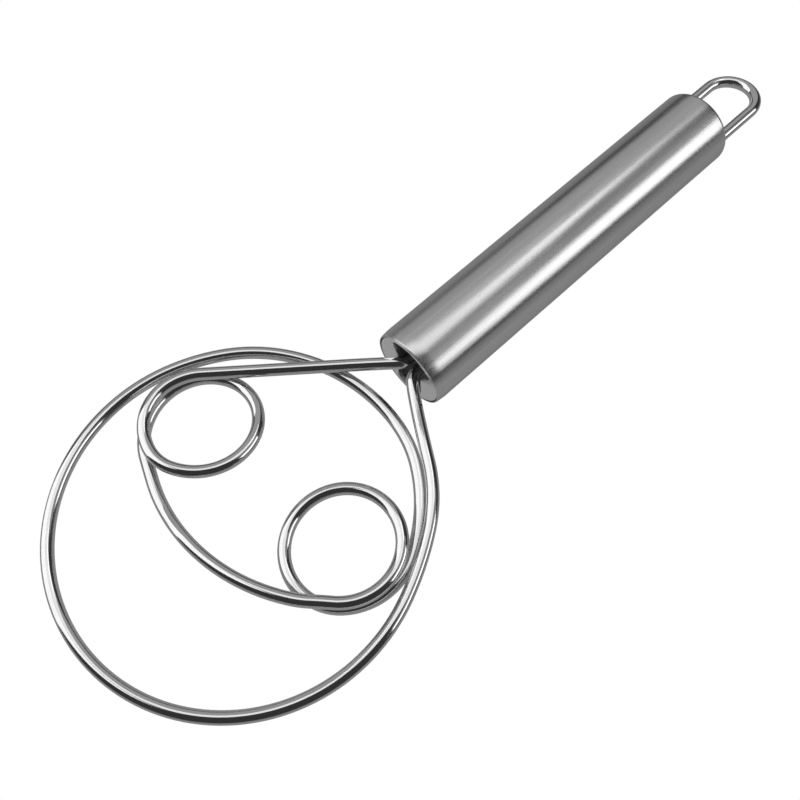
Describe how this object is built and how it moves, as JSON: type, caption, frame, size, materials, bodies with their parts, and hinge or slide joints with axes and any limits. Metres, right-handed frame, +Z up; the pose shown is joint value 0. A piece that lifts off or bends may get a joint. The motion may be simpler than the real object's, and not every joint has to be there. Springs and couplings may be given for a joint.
{
  "type": "dough whisk",
  "caption": "Dough whisk: one bent steel wire forms a ring with two inner loops, held in a hollow steel handle with a hanging loop.",
  "frame": {"origin": "middle of the footprint, on the surface that the handle lies on", "axes": "+X along the handle, from the ring to the hanging loop; +Y to the far loop's side; +Z up, square to the ring"},
  "size_m": [0.2386, 0.0906, 0.022],
  "materials": {
    "bright_wire": "bright polished stainless wire",
    "brushed_tube": "satin, brushed along its length",
    "satin_cap": "satin pressed sheet",
    "dull_plug": "dull turned steel",
    "weld": "rough weld metal"
  },
  "bodies": {
    "root": {"whisk_wire": "bright_wire", "handle_tube": "brushed_tube", "front_cap": "satin_cap", "wire_plug": "dull_plug", "front_welds": "weld", "tail_cap": "satin_cap", "hanging_loop": "bright_wire", "tail_welds": "weld"}
  },
  "joints": []
}
